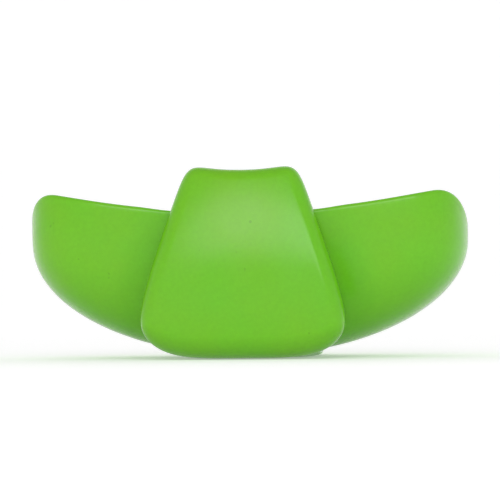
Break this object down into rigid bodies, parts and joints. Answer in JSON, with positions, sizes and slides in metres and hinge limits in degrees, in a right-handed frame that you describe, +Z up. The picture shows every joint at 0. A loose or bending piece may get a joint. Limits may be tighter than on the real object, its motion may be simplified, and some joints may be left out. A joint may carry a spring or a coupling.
{
  "type": "racket throat vibration dampener",
  "caption": "Soft boat-shaped clip-on dampener with two hollow wings and a trapezoid saddle that grips the bridge in a racket's throat.",
  "frame": {"origin": "middle of the flat base under the keel band", "axes": "+X across the wings to the right, +Y to the rear, +Z up towards the racket's face"},
  "size_m": [0.08, 0.045, 0.0343],
  "materials": {
    "green_rubber": "satin lime green moulded rubber",
    "soft_gel": "softer, slightly more matt lime green rubber"
  },
  "bodies": {
    "saddle": {"keel_band": "green_rubber", "centre_seat_pad": "soft_gel"},
    "left_wing": {"left_wing": "green_rubber", "left_seat_pad": "soft_gel"},
    "right_wing": {"right_wing": "green_rubber", "right_seat_pad": "soft_gel"},
    "front_cheek": {"front_block": "green_rubber", "damping_core": "soft_gel"},
    "rear_cheek": {"rear_cheek": "green_rubber"}
  },
  "joints": [
    {"name": "left_wing_flex", "type": "hinge", "parent": "saddle", "child": "left_wing", "pos_m": [-0.0105, 0, 0.0042], "axis": [0, 1, 0], "range_deg": [-4, 6], "stiffness_Nm_per_rad": 0.3},
    {"name": "right_wing_flex", "type": "hinge", "parent": "saddle", "child": "right_wing", "pos_m": [0.0105, 0, 0.0042], "axis": [0, -1, 0], "range_deg": [-4, 6], "stiffness_Nm_per_rad": 0.3},
    {"name": "front_cheek_flex", "type": "hinge", "parent": "saddle", "child": "front_cheek", "pos_m": [0, -0.016, 0.003], "axis": [1, 0, 0], "range_deg": [0, 5], "stiffness_Nm_per_rad": 0.3},
    {"name": "rear_cheek_flex", "type": "hinge", "parent": "saddle", "child": "rear_cheek", "pos_m": [0, 0.016, 0.003], "axis": [-1, 0, 0], "range_deg": [0, 5], "stiffness_Nm_per_rad": 0.3}
  ]
}
